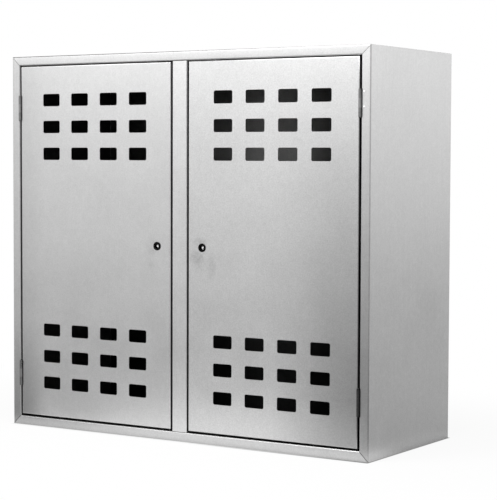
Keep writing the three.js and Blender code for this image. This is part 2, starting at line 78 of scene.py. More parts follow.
# What metal sees of the paper, painted into its glow: a pool of light before the doors on a dimmer floor,
# painted light at the rear right, and painted shade at the front right
POOL_CENTRE = Vector((-0.05, -0.4, 0))
POOL_RADIUS = Vector((0.5, 0.45, PATCH_DEPTH))
POOL_GLOW = 1.2
FAR_GLOW = 0.46
REAR_CENTRE = Vector((1.3, 1.1, 0))
REAR_RADIUS = Vector((1.6, 1.6, PATCH_DEPTH))
REAR_SHARE = 1.2
FRONT_RIGHT_SHADE_CENTRE = Vector((0.9, -0.75, 0))
FRONT_RIGHT_SHADE_RADIUS = Vector((0.6, 0.8, PATCH_DEPTH))
FRONT_RIGHT_SHADE_SHARE = 0.05

# A painted strip of light on the paper round the foot, which the lowest part of the sheet mirrors. From
# mid-depth to the rear a share of it is left
STRIP_REACH = 0.15
STRIP_GLOW = 1.9
STRIP_SHARE_REAR = 0.5

# Contact shadow: a wide one in metal, and a thin line for the camera. The line leaves these shares of
# the white, at the middle of the width and at the right end
CONTACT_REACH = 70 * MM
CONTACT_IN_METAL = 0.45
CONTACT_LINE = 6 * MM
CONTACT_SHARE = (0.9, 0.2)

# Two soft walls of light at the ends of WALL_DIRECTION, which start and are full at these squared
# cosines. A share of their light is left between them, and behind the object, which starts and is full
# at these depths of a direction
WALL_DIRECTION = Vector((0.53, 0.848, 0))
WALL_SPREAD = (0.45, 0.95)
WALL_SHARE_ACROSS = 0.65
WALL_SHARE_BEHIND = 0.95
WALL_BEHIND_SPAN = (-0.5, 0.5)

# Their light at the foot, at its peak and at the top, and how high these are, as sines
WALL_BELOW = 0.3
WALL_PEAK = 1.36
WALL_ABOVE = 0.42
WALL_FOOT = -0.12
WALL_MIDDLE = 0.025
WALL_TOP = 0.7

# The ray depth at which the first reflection sees the paper and the walls. After this many more
# nothing is left of their light
FIRST_ON_PAPER = 1
FIRST_ON_WALLS = 2
SPAN_TO_DARK = 1.25

# Softboxes: their place, what they aim at, their width and height, and their power
LAMPS = {
    "overhead_softbox": {"place": (0.2, -1.1, 2.3), "aim": (0.1, 0, 0.8), "size": (2.2, 1.4), "watts": 47},
    "front_left_softbox": {"place": (-2.0, -3.0, 2.0), "aim": (0, 0, 0.5), "size": (1.6, 1.0), "watts": 24},
    "rear_right_softbox": {"place": (2.2, 1.8, 1.4), "aim": (0.5, 0, 0.5), "size": (1.4, 1.0), "watts": 1.5},
}

# The span that most of a noise lies in, that of a pattern of cells, and a rougher and a plainer noise
NOISE_SPAN = (0.3, 0.7)
CELL_SPAN = (0, 1)
ROUGH_NOISE = {"detail": 4, "roughness": 0.65}
PLAIN_NOISE = {"detail": 2}

# Galvanised sheet: its thickness, and the sizes of its grain, spangle, clouds and rolling lines, and
# how deep each shows
SHEET = 1.5 * MM
SHEET_COLOUR = "#cacaca"
GRAIN_SIZE = 3 * MM
GRAIN_DEPTH = {"right_door_panel": 0.115, "left_door_panel": 0.085, "casing": 0.095}
SPANGLE_SIZE = 10 * MM
SPANGLE_DEPTH = 0.025
CLOUD_SIZE = 90 * MM
CLOUD_DEPTH = 0.015
ROLLING_LINE = 3 * MM
ROLLING_STRETCH = 40
ROLLING_DEPTH = {"door": 0.007, "casing": 0.02}
ROLLED_LENGTHWISE = ("top_panel", "floor_panel")

# Its roughness, how far the grain and the clouds change it, what it is on cut edges and inside, and
# the strength and height of its bump
STEEL_ROUGHNESS = 0.33
GRAIN_ROUGHNESS = 0.03
CLOUD_ROUGHNESS = 0.02
DULL_ROUGHNESS = 0.55
SHEET_BUMP = (0.15, 0.1 * MM)

# Sheared and punched edges: they face the front less than this
CUT_EDGE_COLOUR = "#5f5f5f"
CUT_EDGE_SLANT = 0.3

# The inside starts SKIN_DEPTH under the outer faces, and LIT_BEND further behind the face of the post.
# Its colour carries painted shade: what is left of its brightness at its foot and at its head, and the
# heights between which that rises
SKIN_DEPTH = 1 * MM
LIT_BEND = 1 * MM
INSIDE_SHADE_SPAN = (0.1, 0.45)
INSIDE_RISE = (250 * MM, 800 * MM)

# Painted light and shade inside: how light the jambs beside the doors are beside the other pieces inside,
# and how light the walls are painted from a little behind the stops, where more light gets in
JAMB_SHARE = {"left_side_panel": 1.6, "centre_post": 0.2}
INSIDE_WALL_SHARE = 0.5
WALL_SETBACK = 4 * MM

# The back panel carries painted shade, darkest at its foot, and a painted glow in its middle for the
# light through the windows of both doors
BACK_SHARE = (0.04, 0.4)
BACK_RISE = (150 * MM, 750 * MM)
GLOW_ACROSS = 25 * MM
GLOW_HEIGHT = 500 * MM
GLOW_RADIUS = Vector((170 * MM, PATCH_DEPTH, 1200 * MM))
GLOW_SHARE = 2.4

# The fold along a door's right edge, in the shade of the gap: what is left of its brightness, how far
# round it is turned, and its width
FOLD_SHARE = {"left_door_panel": 0.9, "right_door_panel": 0.3}
FOLD_SLANT = (0.3, 0.8)
FOLD_WIDTH = 4 * MM

# How wide the front faces of the casing are, and the painted shade along the mitre seams between them
SIDE_FACE = 23.3 * MM
TOP_FACE = 22.3 * MM
FLOOR_FACE = 23 * MM
MITRE_LINE = 1.6 * MM
MITRE_SHARE = {"top": 0.85, "foot": 0.6}
MITRED = ("top_panel", "floor_panel", "left_side_panel", "right_side_panel")

# Joining and shading of the solids: what counts as one point and as a sharp edge, and how much more
# the large faces count
WELD_DISTANCE = 0.01 * MM
SMOOTH_ANGLE = math.radians(35)
FLAT_WEIGHT = 100

# Finger marks round the locks: middle across and up from the lock, half width, half height, darkening
FINGER_MARKS = {
    "right_door_panel": [
        (-6 * MM, 12 * MM, 24 * MM, 15 * MM, 0.15),
        (-16 * MM, -22 * MM, 26 * MM, 22 * MM, 0.14),
        (-2 * MM, -36 * MM, 26 * MM, 26 * MM, 0.06),
        (27 * MM, -42 * MM, 15 * MM, 42 * MM, 0.1),
    ],
    "left_door_panel": [
        (-14 * MM, 0, 22 * MM, 26 * MM, 0.07),
        (-16 * MM, -14 * MM, 17 * MM, 11 * MM, 0.07),
        (-17 * MM, -43 * MM, 14 * MM, 12 * MM, 0.06),
    ],
}

# How the marks are broken up: the size of the bare places, and the least and the most that is left
SMEAR_SIZE = 9 * MM
SMEAR_SPAN = (0.4, 1.5)

# How light each sheet is beside the others
SHEET_TONE = {
    "top_panel": 0.95, "floor_panel": 0.95, "right_side_panel": 0.97, "left_door_panel": 0.99,
    "centre_post": 1.06,
}

# Painted shade: the front is darker towards its right end and its feet, and low at its left end.
# hand is the side that it starts from, share what it leaves of the brightness, width and height how far
# it reaches, at_foot its part below the band at the foot, and above its part beyond the height
SHADE_TOWARDS_FEET = {
    "right": {"hand": 1, "share": 0.5, "width": 260 * MM, "height": BOX_HIGH.z, "at_foot": 0.4, "above": 0},
    "left": {"hand": -1, "share": 0.53, "width": 90 * MM, "height": 260 * MM, "at_foot": 1, "above": 0.2},
    "floor": {"hand": -1, "share": 0.8, "width": 450 * MM, "height": BOX_HIGH.z, "at_foot": 1, "above": 0},
}
# How high the band at the foot of the painted shade reaches, and how deep behind the front painted tones
# fade
FOOT_BAND = 130 * MM
PAINTED_TONE_DEPTH = 3 * MM

# Painted light and shade on the head of the front: darker as far as HEAD_START, and from there brighter to
# its right end
HEAD_SHARE = (0.93, 1.07)
HEAD_START = 100 * MM

# Zinc plating of the small steel parts: its fine grain and its wear, with the spread of their tones
PLATING_COLOUR = "#8e8e8e"
PLATING_GRAIN = 0.8 * MM
PLATING_GRAIN_DEPTH = 0.06
PLATING_WEAR = 12 * MM
PLATING_WEAR_DEPTH = 0.08
PLATING_ROUGHNESS = (0.26, 0.4)
PLATING_BUMP = (0.1, 0.05 * MM)

# How light the zinc plating is, by the words in a piece's name; the first that fits counts. The right
# lower hinge is darkened as painted shade
PLATING_TONE_AND_SHADE = {"right_lower_hinge": 0.25, "frame_leaf": 0.75, "": 1}

# Black coat on the lock's housing
COAT_COLOUR = "#050505"
COAT_PEEL = 0.5 * MM
COAT_ROUGHNESS = (0.5, 0.62)
COAT_IOR = 1.5
COAT_SPECULAR = 0.1
COAT_BUMP = (0.25, 0.05 * MM)

# Bare zinc of the lock's driver, with upright scratches
DRIVER_COLOUR = "#f2f2f2"
DRIVER_SCRATCH = 0.4 * MM
DRIVER_STRETCH = (1, 1, 6)
DRIVER_ROUGHNESS = (0.16, 0.3)
DRIVER_BUMP = (0.15, 0.03 * MM)

# Weld metal and zinc beads
WELD_COLOUR = "#f4f4f4"
WELD_RIPPLE = 0.6 * MM
WELD_DEPTH = 0.06
WELD_ROUGHNESS = (0.4, 0.5)
WELD_BUMP = (0.3, 0.05 * MM)

# Zinc beads beside the upper right hinge: how far beside its pin, and above and below its middle
BEAD_RADIUS = 2.4 * MM
BEAD_HEIGHT = 0.4 * MM
BEAD_BESIDE_PIN = 8.6 * MM
BEAD_RISES = (24.3 * MM, -9 * MM)
BEAD_STEPS_ROUND = 16
BEAD_STEPS_UP = 10

# Weld runs along the two side edges of the top
CORNER_WELD_RADIUS = 0.9 * MM
CORNER_WELD_SETBACK = 3 * MM
CORNER_WELD_STEPS = 12

# Spot welds along the back flanges: a rim round a lower middle, their spacing, and their way in from
# the side
SPOT_RADIUS = 3 * MM
SPOT_RIM = 0.8 * MM
SPOT_HEIGHT = 0.12 * MM
SPOT_MIDDLE_SHARE = 1 / 3
SPOT_PITCH = 100 * MM
SPOT_INSET = 8 * MM
SPOT_STEPS = 16


def linear(colour):
    """The linear RGBA value of an sRGB hex colour."""
    channels = [int(colour[at:at + 2], 16) / 255 for at in (1, 3, 5)]
    return [c / 12.92 if c <= 0.04045 else ((c + 0.055) / 1.055) ** 2.4 for c in channels] + [1]


def add_node(tree, kind, inputs=(), **settings):
    """A node with its settings. Its inputs, by name or in their order, are values, sockets or nodes."""
    node = tree.nodes.new(kind)
    for name, value in settings.items():
        setattr(node, name, value)
    for name, value in inputs.items() if isinstance(inputs, dict) else enumerate(inputs):
        if isinstance(value, bpy.types.Node):
            value = value.outputs[0]
        if isinstance(value, bpy.types.NodeSocket):
            tree.links.new(value, node.inputs[name])
        else:
            node.inputs[name].default_value = value
    return node


def new_material(name):
    """An empty material, its tree, and the place on the object as a socket of the tree."""
    material = bpy.data.materials.new(name)
    material.use_nodes = True
    tree = material.node_tree
    tree.nodes.clear()
    return material, tree, add_node(tree, "ShaderNodeTexCoord").outputs["Object"]


def grain(tree, place, size, detail=3, roughness=0.5, stretch=(1, 1, 1)):
    """Noise whose lumps are about size across, drawn out along an axis by stretch."""
    drawn = add_node(tree, "ShaderNodeMapping", {"Vector": place, "Scale": [1 / s for s in stretch]})
    return add_node(tree, "ShaderNodeTexNoise", {
        "Vector": drawn, "Scale": 1 / size, "Detail": detail, "Roughness": roughness,
    })


def soft_patch(tree, place, centre, radius, inside, outside):
    """inside in an oval patch, which fades to outside at its rim."""
    from_centre = add_node(tree, "ShaderNodeMapping", {
        "Vector": place, "Location": centre, "Scale": radius,
    }, vector_type="TEXTURE")
    distance = add_node(tree, "ShaderNodeVectorMath", [from_centre], operation="LENGTH").outputs["Value"]
    return add_node(tree, "ShaderNodeMapRange", [
        distance, PATCH_EDGE, 1, inside, outside,
    ], interpolation_type="SMOOTHSTEP")


def beyond_box(tree, place, low, high):
    """How far a place lies outside a box along each axis. It is less than 0 inside the box."""
    away = add_node(tree, "ShaderNodeVectorMath", [place, (low + high) / 2], operation="SUBTRACT")
    away = add_node(tree, "ShaderNodeVectorMath", [away], operation="ABSOLUTE")
    return add_node(tree, "ShaderNodeVectorMath", [away, (high - low) / 2], operation="SUBTRACT")


def mottled(tree, tone, patterns):
    """A tone made lighter and darker by patterns, each with its span and how deep it shows."""
    for pattern, span, depth in patterns:
        shade = add_node(tree, "ShaderNodeMapRange", [pattern, *span, 1 - depth, 1 + depth])
        tone = add_node(tree, "ShaderNodeMath", [tone, shade], operation="MULTIPLY")
    return tone


def tinted(tree, colour, tone):
    """An sRGB hex colour, made lighter or darker by a tone."""
    return add_node(tree, "ShaderNodeMix", {
        "Factor": 1, "A": linear(colour), "B": tone,
    }, data_type="RGBA", blend_type="MULTIPLY").outputs["Result"]


def bare_metal(tree, colour, roughness, relief, bump):
    """Ends a material's tree in metal with a fine relief, of which bump is the strength and the height."""
    strength, height = bump
    normal = add_node(tree, "ShaderNodeBump", {"Height": relief, "Strength": strength, "Distance": height})
    metal = add_node(tree, "ShaderNodeBsdfPrincipled", {
        "Base Color": colour, "Metallic": 1, "Roughness": roughness, "Normal": normal,
    })
    add_node(tree, "ShaderNodeOutputMaterial", {"Surface": metal})


def sheet_stretch(node_name):
    """Which way the sheet was rolled: along X on the top and the floor, and upright elsewhere."""
    return (ROLLING_STRETCH, 1, 1) if node_name in ROLLED_LENGTHWISE else (1, 1, ROLLING_STRETCH)


def cut_edges(tree, place):
    """1 on the sheared and punched edges in the front faces, which show the bare section of the sheet."""
    turned = add_node(tree, "ShaderNodeTexCoord").outputs["Normal"]
    facing = add_node(tree, "ShaderNodeSeparateXYZ", [turned]).outputs["Y"]
    facing = add_node(tree, "ShaderNodeMath", [facing], operation="ABSOLUTE")
    across = add_node(tree, "ShaderNodeMath", [facing, CUT_EDGE_SLANT], operation="LESS_THAN")
    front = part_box("left_door_panel")[0].y
    depth = add_node(tree, "ShaderNodeSeparateXYZ", [place]).outputs["Y"]
    in_front = add_node(tree, "ShaderNodeMath", [depth, front + SHEET], operation="LESS_THAN")
    return add_node(tree, "ShaderNodeMath", [across, in_front], operation="MULTIPLY")


def shaded_fold(tree, place, door):
    """What is left of the brightness on the fold along the right edge of a door, in the shade of the gap."""
    turned = add_node(tree, "ShaderNodeTexCoord").outputs["Normal"]
    aside = add_node(tree, "ShaderNodeSeparateXYZ", [turned]).outputs["X"]
    folded = add_node(tree, "ShaderNodeMapRange", [aside, *FOLD_SLANT, 0, 1])
    _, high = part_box(door)
    across = add_node(tree, "ShaderNodeSeparateXYZ", [place]).outputs["X"]
    at_edge = add_node(tree, "ShaderNodeMath", [across, high.x - FOLD_WIDTH], operation="GREATER_THAN")
    fold = add_node(tree, "ShaderNodeMath", [folded, at_edge], operation="MULTIPLY")
    return add_node(tree, "ShaderNodeMapRange", [fold, 0, 1, 1, FOLD_SHARE[door]])


def inside_casing(tree, place):
    """1 on the faces that lie deeper in the object than its outer skin, and 0 on the skin."""
    low, high = BOX_LOW.copy(), BOX_HIGH.copy()
    low.y, high.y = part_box("centre_post")[0].y + LIT_BEND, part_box("back_panel")[1].y
    x, y, z = add_node(tree, "ShaderNodeSeparateXYZ", [beyond_box(tree, place, low, high)]).outputs
    nearest = add_node(tree, "ShaderNodeMath", [x, y], operation="MAXIMUM")
    nearest = add_node(tree, "ShaderNodeMath", [nearest, z], operation="MAXIMUM")
    return add_node(tree, "ShaderNodeMath", [nearest, -SKIN_DEPTH], operation="LESS_THAN")


def inside_painted_shade(tree, place, node_name):
    """Painted shade inside, deepest at the foot, lighter behind the stops; a painted glow on the back panel.
    """
    _, y, z = add_node(tree, "ShaderNodeSeparateXYZ", [place]).outputs
    if node_name == "back_panel":
        centre = Vector((GLOW_ACROSS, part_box(node_name)[0].y, GLOW_HEIGHT))
        rise = add_node(tree, "ShaderNodeMapRange", [z, *BACK_RISE, *BACK_SHARE])
        glow = soft_patch(tree, place, centre, GLOW_RADIUS, GLOW_SHARE, 1)
        return add_node(tree, "ShaderNodeMath", [rise, glow], operation="MULTIPLY")
    rise = add_node(tree, "ShaderNodeMapRange", [z, *INSIDE_RISE, *INSIDE_SHADE_SPAN])
    jamb = add_node(tree, "ShaderNodeMath", [rise, JAMB_SHARE.get(node_name, 1)], operation="MULTIPLY")
    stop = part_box("left_door_panel")[1].y + WALL_SETBACK
    behind = add_node(tree, "ShaderNodeMath", [y, stop], operation="GREATER_THAN")
    return add_node(tree, "ShaderNodeMix", {"Factor": behind, "A": jamb, "B": INSIDE_WALL_SHARE})


def mitre_shade(tree, place, corner, inner, share):
    """share along the mitre from an outer corner of the front to the inner one, as painted shade, else 1."""
    x, _, z = add_node(tree, "ShaderNodeSeparateXYZ", [place]).outputs
    run = Vector((inner[0] - corner[0], inner[1] - corner[1])).normalized()
    offset = corner[0] * run.y - corner[1] * run.x
    across = add_node(tree, "ShaderNodeMath", [x], operation="ABSOLUTE")
    across = add_node(tree, "ShaderNodeMath", [across, run.y], operation="MULTIPLY")
    up = add_node(tree, "ShaderNodeMath", [z, run.x], operation="MULTIPLY")
    beside = add_node(tree, "ShaderNodeMath", [across, up], operation="SUBTRACT")
    beside = add_node(tree, "ShaderNodeMath", [beside, offset], operation="SUBTRACT")
    distance = add_node(tree, "ShaderNodeMath", [beside], operation="ABSOLUTE")
    return add_node(tree, "ShaderNodeMapRange", [distance, MITRE_LINE / 2, MITRE_LINE, share, 1])


def mitre_lines(tree, place):
    """Painted shade in the four mitres of the front; the casing's faces are as wide as the doorways leave
    them.
    """
    side, top = BOX_HIGH.x, BOX_HIGH.z
    upper = mitre_shade(tree, place, (side, top), (side - SIDE_FACE, top - TOP_FACE), MITRE_SHARE["top"])
    lower = mitre_shade(tree, place, (side, 0), (side - SIDE_FACE, FLOOR_FACE), MITRE_SHARE["foot"])
    lines = add_node(tree, "ShaderNodeMath", [upper, lower], operation="MULTIPLY")
    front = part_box("top_panel")[0].y
    depth = add_node(tree, "ShaderNodeSeparateXYZ", [place]).outputs["Y"]
    behind = add_node(tree, "ShaderNodeMath", [depth, front + SKIN_DEPTH], operation="GREATER_THAN")
    return add_node(tree, "ShaderNodeMath", [lines, behind], operation="MAXIMUM")


def foot_painted_shade(tree, place, part):
    """Painted shade, less than 1 towards one foot of the front; 1 further up, further in and behind it."""
    facts = SHADE_TOWARDS_FEET[part]
    low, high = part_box("right_door_panel")
    x, y, z = add_node(tree, "ShaderNodeSeparateXYZ", [place]).outputs
    aside = add_node(tree, "ShaderNodeMath", [x, facts["hand"]], operation="MULTIPLY")
    shade_amount = add_node(tree, "ShaderNodeMapRange", [
        aside, high.x - facts["width"], high.x, 0, 1 - facts["share"],
    ], interpolation_type="SMOOTHSTEP")
    for fade in (
        [z, 0, facts["height"], 1, facts["above"]],
        [z, 0, FOOT_BAND, facts["at_foot"], 1],
        [y, low.y, low.y + PAINTED_TONE_DEPTH, 1, 0],
    ):
        left = add_node(tree, "ShaderNodeMapRange", fade)
        shade_amount = add_node(tree, "ShaderNodeMath", [shade_amount, left], operation="MULTIPLY")
    return add_node(tree, "ShaderNodeMath", [1, shade_amount], operation="SUBTRACT")


def head_painted_light(tree, place):
    """Painted light and shade on the front towards its head, and 1 from mid-height down and behind it."""
    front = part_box("left_door_panel")[0].y
    x, y, z = add_node(tree, "ShaderNodeSeparateXYZ", [place]).outputs
    across = add_node(tree, "ShaderNodeMapRange", [x, HEAD_START, BOX_HIGH.x, *HEAD_SHARE])
    rise = add_node(tree, "ShaderNodeMapRange", [z, BOX_HIGH.z / 2, BOX_HIGH.z, 0, 1])
    in_front = add_node(tree, "ShaderNodeMapRange", [y, front, front + PAINTED_TONE_DEPTH, 1, 0])
    at_head = add_node(tree, "ShaderNodeMath", [rise, in_front], operation="MULTIPLY")
    return add_node(tree, "ShaderNodeMix", {"Factor": at_head, "A": 1, "B": across})


def finger_marks(tree, place, door):
    """Dull patches left by hands round a door's lock, broken up by noise."""
    low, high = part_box(door.replace("door_panel", "lock_housing"))
    lock = (low + high) / 2
    smear = add_node(tree, "ShaderNodeMapRange", [grain(tree, place, SMEAR_SIZE), *NOISE_SPAN, *SMEAR_SPAN])
    tone = 1
    for across, up, half_width, half_height, darkening in FINGER_MARKS[door]:
        centre = lock + Vector((across, 0, up))
        radius = Vector((half_width, PATCH_DEPTH, half_height))
        mark = soft_patch(tree, place, centre, radius, darkening, 0)
        mark = add_node(tree, "ShaderNodeMath", [mark, smear], operation="MULTIPLY")
        left = add_node(tree, "ShaderNodeMath", [1, mark], operation="SUBTRACT")
        tone = add_node(tree, "ShaderNodeMath", [tone, left], operation="MULTIPLY")
    return tone


def sheet_shares(tree, place, node_name, inside):
    """Factors on the brightness of a sheet: painted light and shade by its place, and finger marks."""
    shares = [head_painted_light(tree, place)]
    if node_name in FINGER_MARKS:
        shares += [finger_marks(tree, place, node_name), shaded_fold(tree, place, node_name)]
    else:
        share = inside_painted_shade(tree, place, node_name)
        shares.append(add_node(tree, "ShaderNodeMapRange", [inside, 0, 1, 1, share]))
    part = node_name.split("_")[0]
    if part in SHADE_TOWARDS_FEET:
        shares.append(foot_painted_shade(tree, place, part))
    if node_name in MITRED:
        shares.append(mitre_lines(tree, place))
    return shares


def galvanised_steel(node_name):
    """Steel sheet, hot-dip galvanised and skin-passed: a fine frosted grain, faint clouds, rolling lines."""
    material, tree, place = new_material(f"galvanised_steel_{node_name}")
    is_door = node_name in FINGER_MARKS
    # The real grain is under 1 mm; it is drawn at 3 mm, so that it still shows from 4 m away
    fine = grain(tree, place, GRAIN_SIZE, **ROUGH_NOISE)
    clouds = grain(tree, place, CLOUD_SIZE)
    rolling = grain(tree, place, ROLLING_LINE, stretch=sheet_stretch(node_name), **PLAIN_NOISE)
    spangle = add_node(tree, "ShaderNodeTexVoronoi", {"Vector": place, "Scale": 1 / SPANGLE_SIZE})
    tone = mottled(tree, SHEET_TONE.get(node_name, 1), (
        (fine, NOISE_SPAN, GRAIN_DEPTH.get(node_name, GRAIN_DEPTH["casing"])),
        (clouds, NOISE_SPAN, CLOUD_DEPTH),
        (rolling, NOISE_SPAN, ROLLING_DEPTH["door" if is_door else "casing"]),
        (spangle.outputs["Color"], CELL_SPAN, SPANGLE_DEPTH),
    ))
    # Faces inside the casing get painted shade and a duller roughness
    inside = 0.0 if is_door else inside_casing(tree, place)
    for share in sheet_shares(tree, place, node_name, inside):
        tone = add_node(tree, "ShaderNodeMath", [tone, share], operation="MULTIPLY")
    edge = cut_edges(tree, place)
    colour = add_node(tree, "ShaderNodeMix", {
        "Factor": edge, "A": tinted(tree, SHEET_COLOUR, tone), "B": linear(CUT_EDGE_COLOUR),
    }, data_type="RGBA").outputs["Result"]
    frosted = add_node(tree, "ShaderNodeMapRange", [
        fine, *NOISE_SPAN, STEEL_ROUGHNESS - GRAIN_ROUGHNESS, STEEL_ROUGHNESS + GRAIN_ROUGHNESS,
    ])
    cloudy = add_node(tree, "ShaderNodeMapRange", [clouds, *NOISE_SPAN, -CLOUD_ROUGHNESS, CLOUD_ROUGHNESS])
    roughness = add_node(tree, "ShaderNodeMath", [frosted, cloudy], operation="ADD")
    dull = add_node(tree, "ShaderNodeMath", [edge, inside], operation="MAXIMUM")
    roughness = add_node(tree, "ShaderNodeMix", {"Factor": dull, "A": roughness, "B": DULL_ROUGHNESS})
    bare_metal(tree, colour, roughness, fine, SHEET_BUMP)
    return material


def zinc_plating(name, share):
    """Small steel parts, electroplated with zinc: satin, a little darker than the sheet."""
    material, tree, place = new_material(f"zinc_plating_{name}")
    fine = grain(tree, place, PLATING_GRAIN)
    wear = grain(tree, place, PLATING_WEAR)
    tone = mottled(tree, share, (
        (fine, NOISE_SPAN, PLATING_GRAIN_DEPTH), (wear, NOISE_SPAN, PLATING_WEAR_DEPTH),
    ))
    roughness = add_node(tree, "ShaderNodeMapRange", [wear, *NOISE_SPAN, *PLATING_ROUGHNESS])
    bare_metal(tree, tinted(tree, PLATING_COLOUR, tone), roughness, fine, PLATING_BUMP)
    return material


def black_coated_casting():
    """Zinc die casting with a black powder coat: a fine orange peel and a soft gloss."""
    material, tree, place = new_material("black_coated_casting")
    peel = grain(tree, place, COAT_PEEL, **PLAIN_NOISE)
    strength, height = COAT_BUMP
    normal = add_node(tree, "ShaderNodeBump", {"Height": peel, "Strength": strength, "Distance": height})
    coat = add_node(tree, "ShaderNodeBsdfPrincipled", {
        "Base Color": linear(COAT_COLOUR),
        "Roughness": add_node(tree, "ShaderNodeMapRange", [peel, *NOISE_SPAN, *COAT_ROUGHNESS]),
        "IOR": COAT_IOR, "Specular IOR Level": COAT_SPECULAR, "Normal": normal,
    })
    add_node(tree, "ShaderNodeOutputMaterial", {"Surface": coat})
    return material


def bright_zinc_casting():
    """Zinc die casting without a coat, kept bright by the key that turns it, with fine scratches."""
    material, tree, place = new_material("bright_zinc_casting")
    scratches = grain(tree, place, DRIVER_SCRATCH, stretch=DRIVER_STRETCH)
    roughness = add_node(tree, "ShaderNodeMapRange", [scratches, *NOISE_SPAN, *DRIVER_ROUGHNESS])
    bare_metal(tree, linear(DRIVER_COLOUR), roughness, scratches, DRIVER_BUMP)
    return material


def bright_weld_metal():
    """Weld metal and zinc run, brushed clean: a little brighter than the sheet."""
    material, tree, place = new_material("bright_weld_metal")
    ripple = grain(tree, place, WELD_RIPPLE, **PLAIN_NOISE)
    tone = mottled(tree, 1, [(ripple, NOISE_SPAN, WELD_DEPTH)])
    roughness = add_node(tree, "ShaderNodeMapRange", [ripple, *NOISE_SPAN, *WELD_ROUGHNESS])
    bare_metal(tree, tinted(tree, WELD_COLOUR, tone), roughness, ripple, WELD_BUMP)
    return material


def dress_nodes():
    """Every node of the frame gets the finish of its material slot. Sheet pieces have one each."""
    platings = {name: zinc_plating(name, share) for name, share in PLATING_TONE_AND_SHADE.items()}
    finishes = {
        "black_casting": black_coated_casting(),
        "bright_zinc": bright_zinc_casting(),
    }
    for name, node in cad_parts.items():
        slot = node.material_slots[0]
        if slot.material.name == "galvanised_sheet":
            slot.material = galvanised_steel(name)
        elif slot.material.name == "zinc_plated_steel":
            slot.material = next(platings[part] for part in platings if part in name)
        else:
            slot.material = finishes[slot.material.name]


def smooth_folds_group():
    """Joins a node's loose triangles, and shades its bends and round faces smooth and its edges sharp."""
    tree = bpy.data.node_groups.new("smooth_folds", "GeometryNodeTree")
    for direction in ("INPUT", "OUTPUT"):
        tree.interface.new_socket("Geometry", in_out=direction, socket_type="NodeSocketGeometry")
    joined = add_node(tree, "GeometryNodeMergeByDistance", {
        "Geometry": add_node(tree, "NodeGroupInput"), "Distance": WELD_DISTANCE,
    })
    bare = add_node(tree, "GeometryNodeRemoveAttribute", {"Geometry": joined, "Name": "custom_normal"})
    angle = add_node(tree, "GeometryNodeInputMeshEdgeAngle").outputs["Unsigned Angle"]
    sharp = add_node(tree, "FunctionNodeCompare", [angle, SMOOTH_ANGLE], operation="GREATER_THAN")
    faces = add_node(tree, "GeometryNodeSetShadeSmooth", {"Geometry": bare, "Shade Smooth": True})
    edges = add_node(tree, "GeometryNodeSetShadeSmooth", {
        "Geometry": faces, "Selection": sharp, "Shade Smooth": False,
    }, domain="EDGE")
    add_node(tree, "NodeGroupOutput", [edges])
    return tree


def smooth_nodes():
    """Round shading for the bends of every node, and even shading for its flat faces."""
    group = smooth_folds_group()
    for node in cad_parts.values():
        smooth = node.modifiers.new("smooth_folds", "NODES")
        smooth.node_group = group
        flat = node.modifiers.new("flat_faces", "WEIGHTED_NORMAL")
        flat.keep_sharp = True
        flat.weight = FLAT_WEIGHT


def new_piece(name, shape, material, smooth=False):
    """An object at the origin from a bmesh, whose place is in its mesh."""
    mesh = bpy.data.meshes.new(name)
    shape.to_mesh(mesh)
    shape.free()
    mesh.polygons.foreach_set("use_smooth", [smooth] * len(mesh.polygons))
    mesh.materials.append(material)
    piece = bpy.data.objects.new(name, mesh)
    bpy.context.scene.collection.objects.link(piece)
    return piece


def corner_welds(weld_metal):
    """Weld runs, ground flush, that close the two long corners between the top and the sides."""
    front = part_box("top_panel")[0].y
    start, end = front + CORNER_WELD_SETBACK, BOX_HIGH.y - CORNER_WELD_SETBACK
    shape = bmesh.new()
    for side in (-1, 1):
        run = bmesh.ops.create_cone(
            shape, cap_ends=True, segments=CORNER_WELD_STEPS,
            radius1=CORNER_WELD_RADIUS, radius2=CORNER_WELD_RADIUS, depth=end - start,
        )["verts"]
        bmesh.ops.rotate(shape, verts=run, matrix=Matrix.Rotation(math.pi / 2, 3, "X"))
        bmesh.ops.translate(shape, verts=run, vec=(
            side * (BOX_HIGH.x - CORNER_WELD_RADIUS), (start + end) / 2, BOX_HIGH.z - CORNER_WELD_RADIUS,
        ))
    welds = new_piece("top_corner_welds", shape, weld_metal, smooth=True)
    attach(welds, "cabinet")


def hinge_beads(weld_metal):
    """Two bright beads of zinc on the front face of the casing, beside the upper right hinge."""
    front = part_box("left_door_panel")[0].y
    low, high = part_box("right_upper_hinge_pin")
    pin = (low + high) / 2
    shape = bmesh.new()
    for rise in BEAD_RISES:
        dome = bmesh.ops.create_uvsphere(
            shape, u_segments=BEAD_STEPS_ROUND, v_segments=BEAD_STEPS_UP, radius=1,
        )["verts"]
        bmesh.ops.scale(shape, verts=dome, vec=(BEAD_RADIUS, BEAD_HEIGHT, BEAD_RADIUS))
        bmesh.ops.translate(shape, verts=dome, vec=(pin.x + BEAD_BESIDE_PIN, front, pin.z + rise))
    beads = new_piece("right_upper_hinge_beads", shape, weld_metal, smooth=True)
    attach(beads, "cabinet")


def spot_weld(shape, place):
    """The mark of a spot weld on a face towards +Y: a low ridge round a flat middle."""
    middle = SPOT_HEIGHT * SPOT_MIDDLE_SHARE
    profile = [
        (SPOT_RADIUS, 0), (SPOT_RADIUS - SPOT_RIM / 2, SPOT_HEIGHT), (SPOT_RADIUS - SPOT_RIM, middle),
        (0, middle),
    ]
    points = [shape.verts.new(place + Vector((radius, height, 0))) for radius, height in profile]
    line = [shape.edges.new(pair) for pair in zip(points, points[1:])]
    bmesh.ops.spin(shape, geom=points + line, cent=place, axis=(0, 1, 0), angle=2 * math.pi,
                   steps=SPOT_STEPS, use_merge=True)


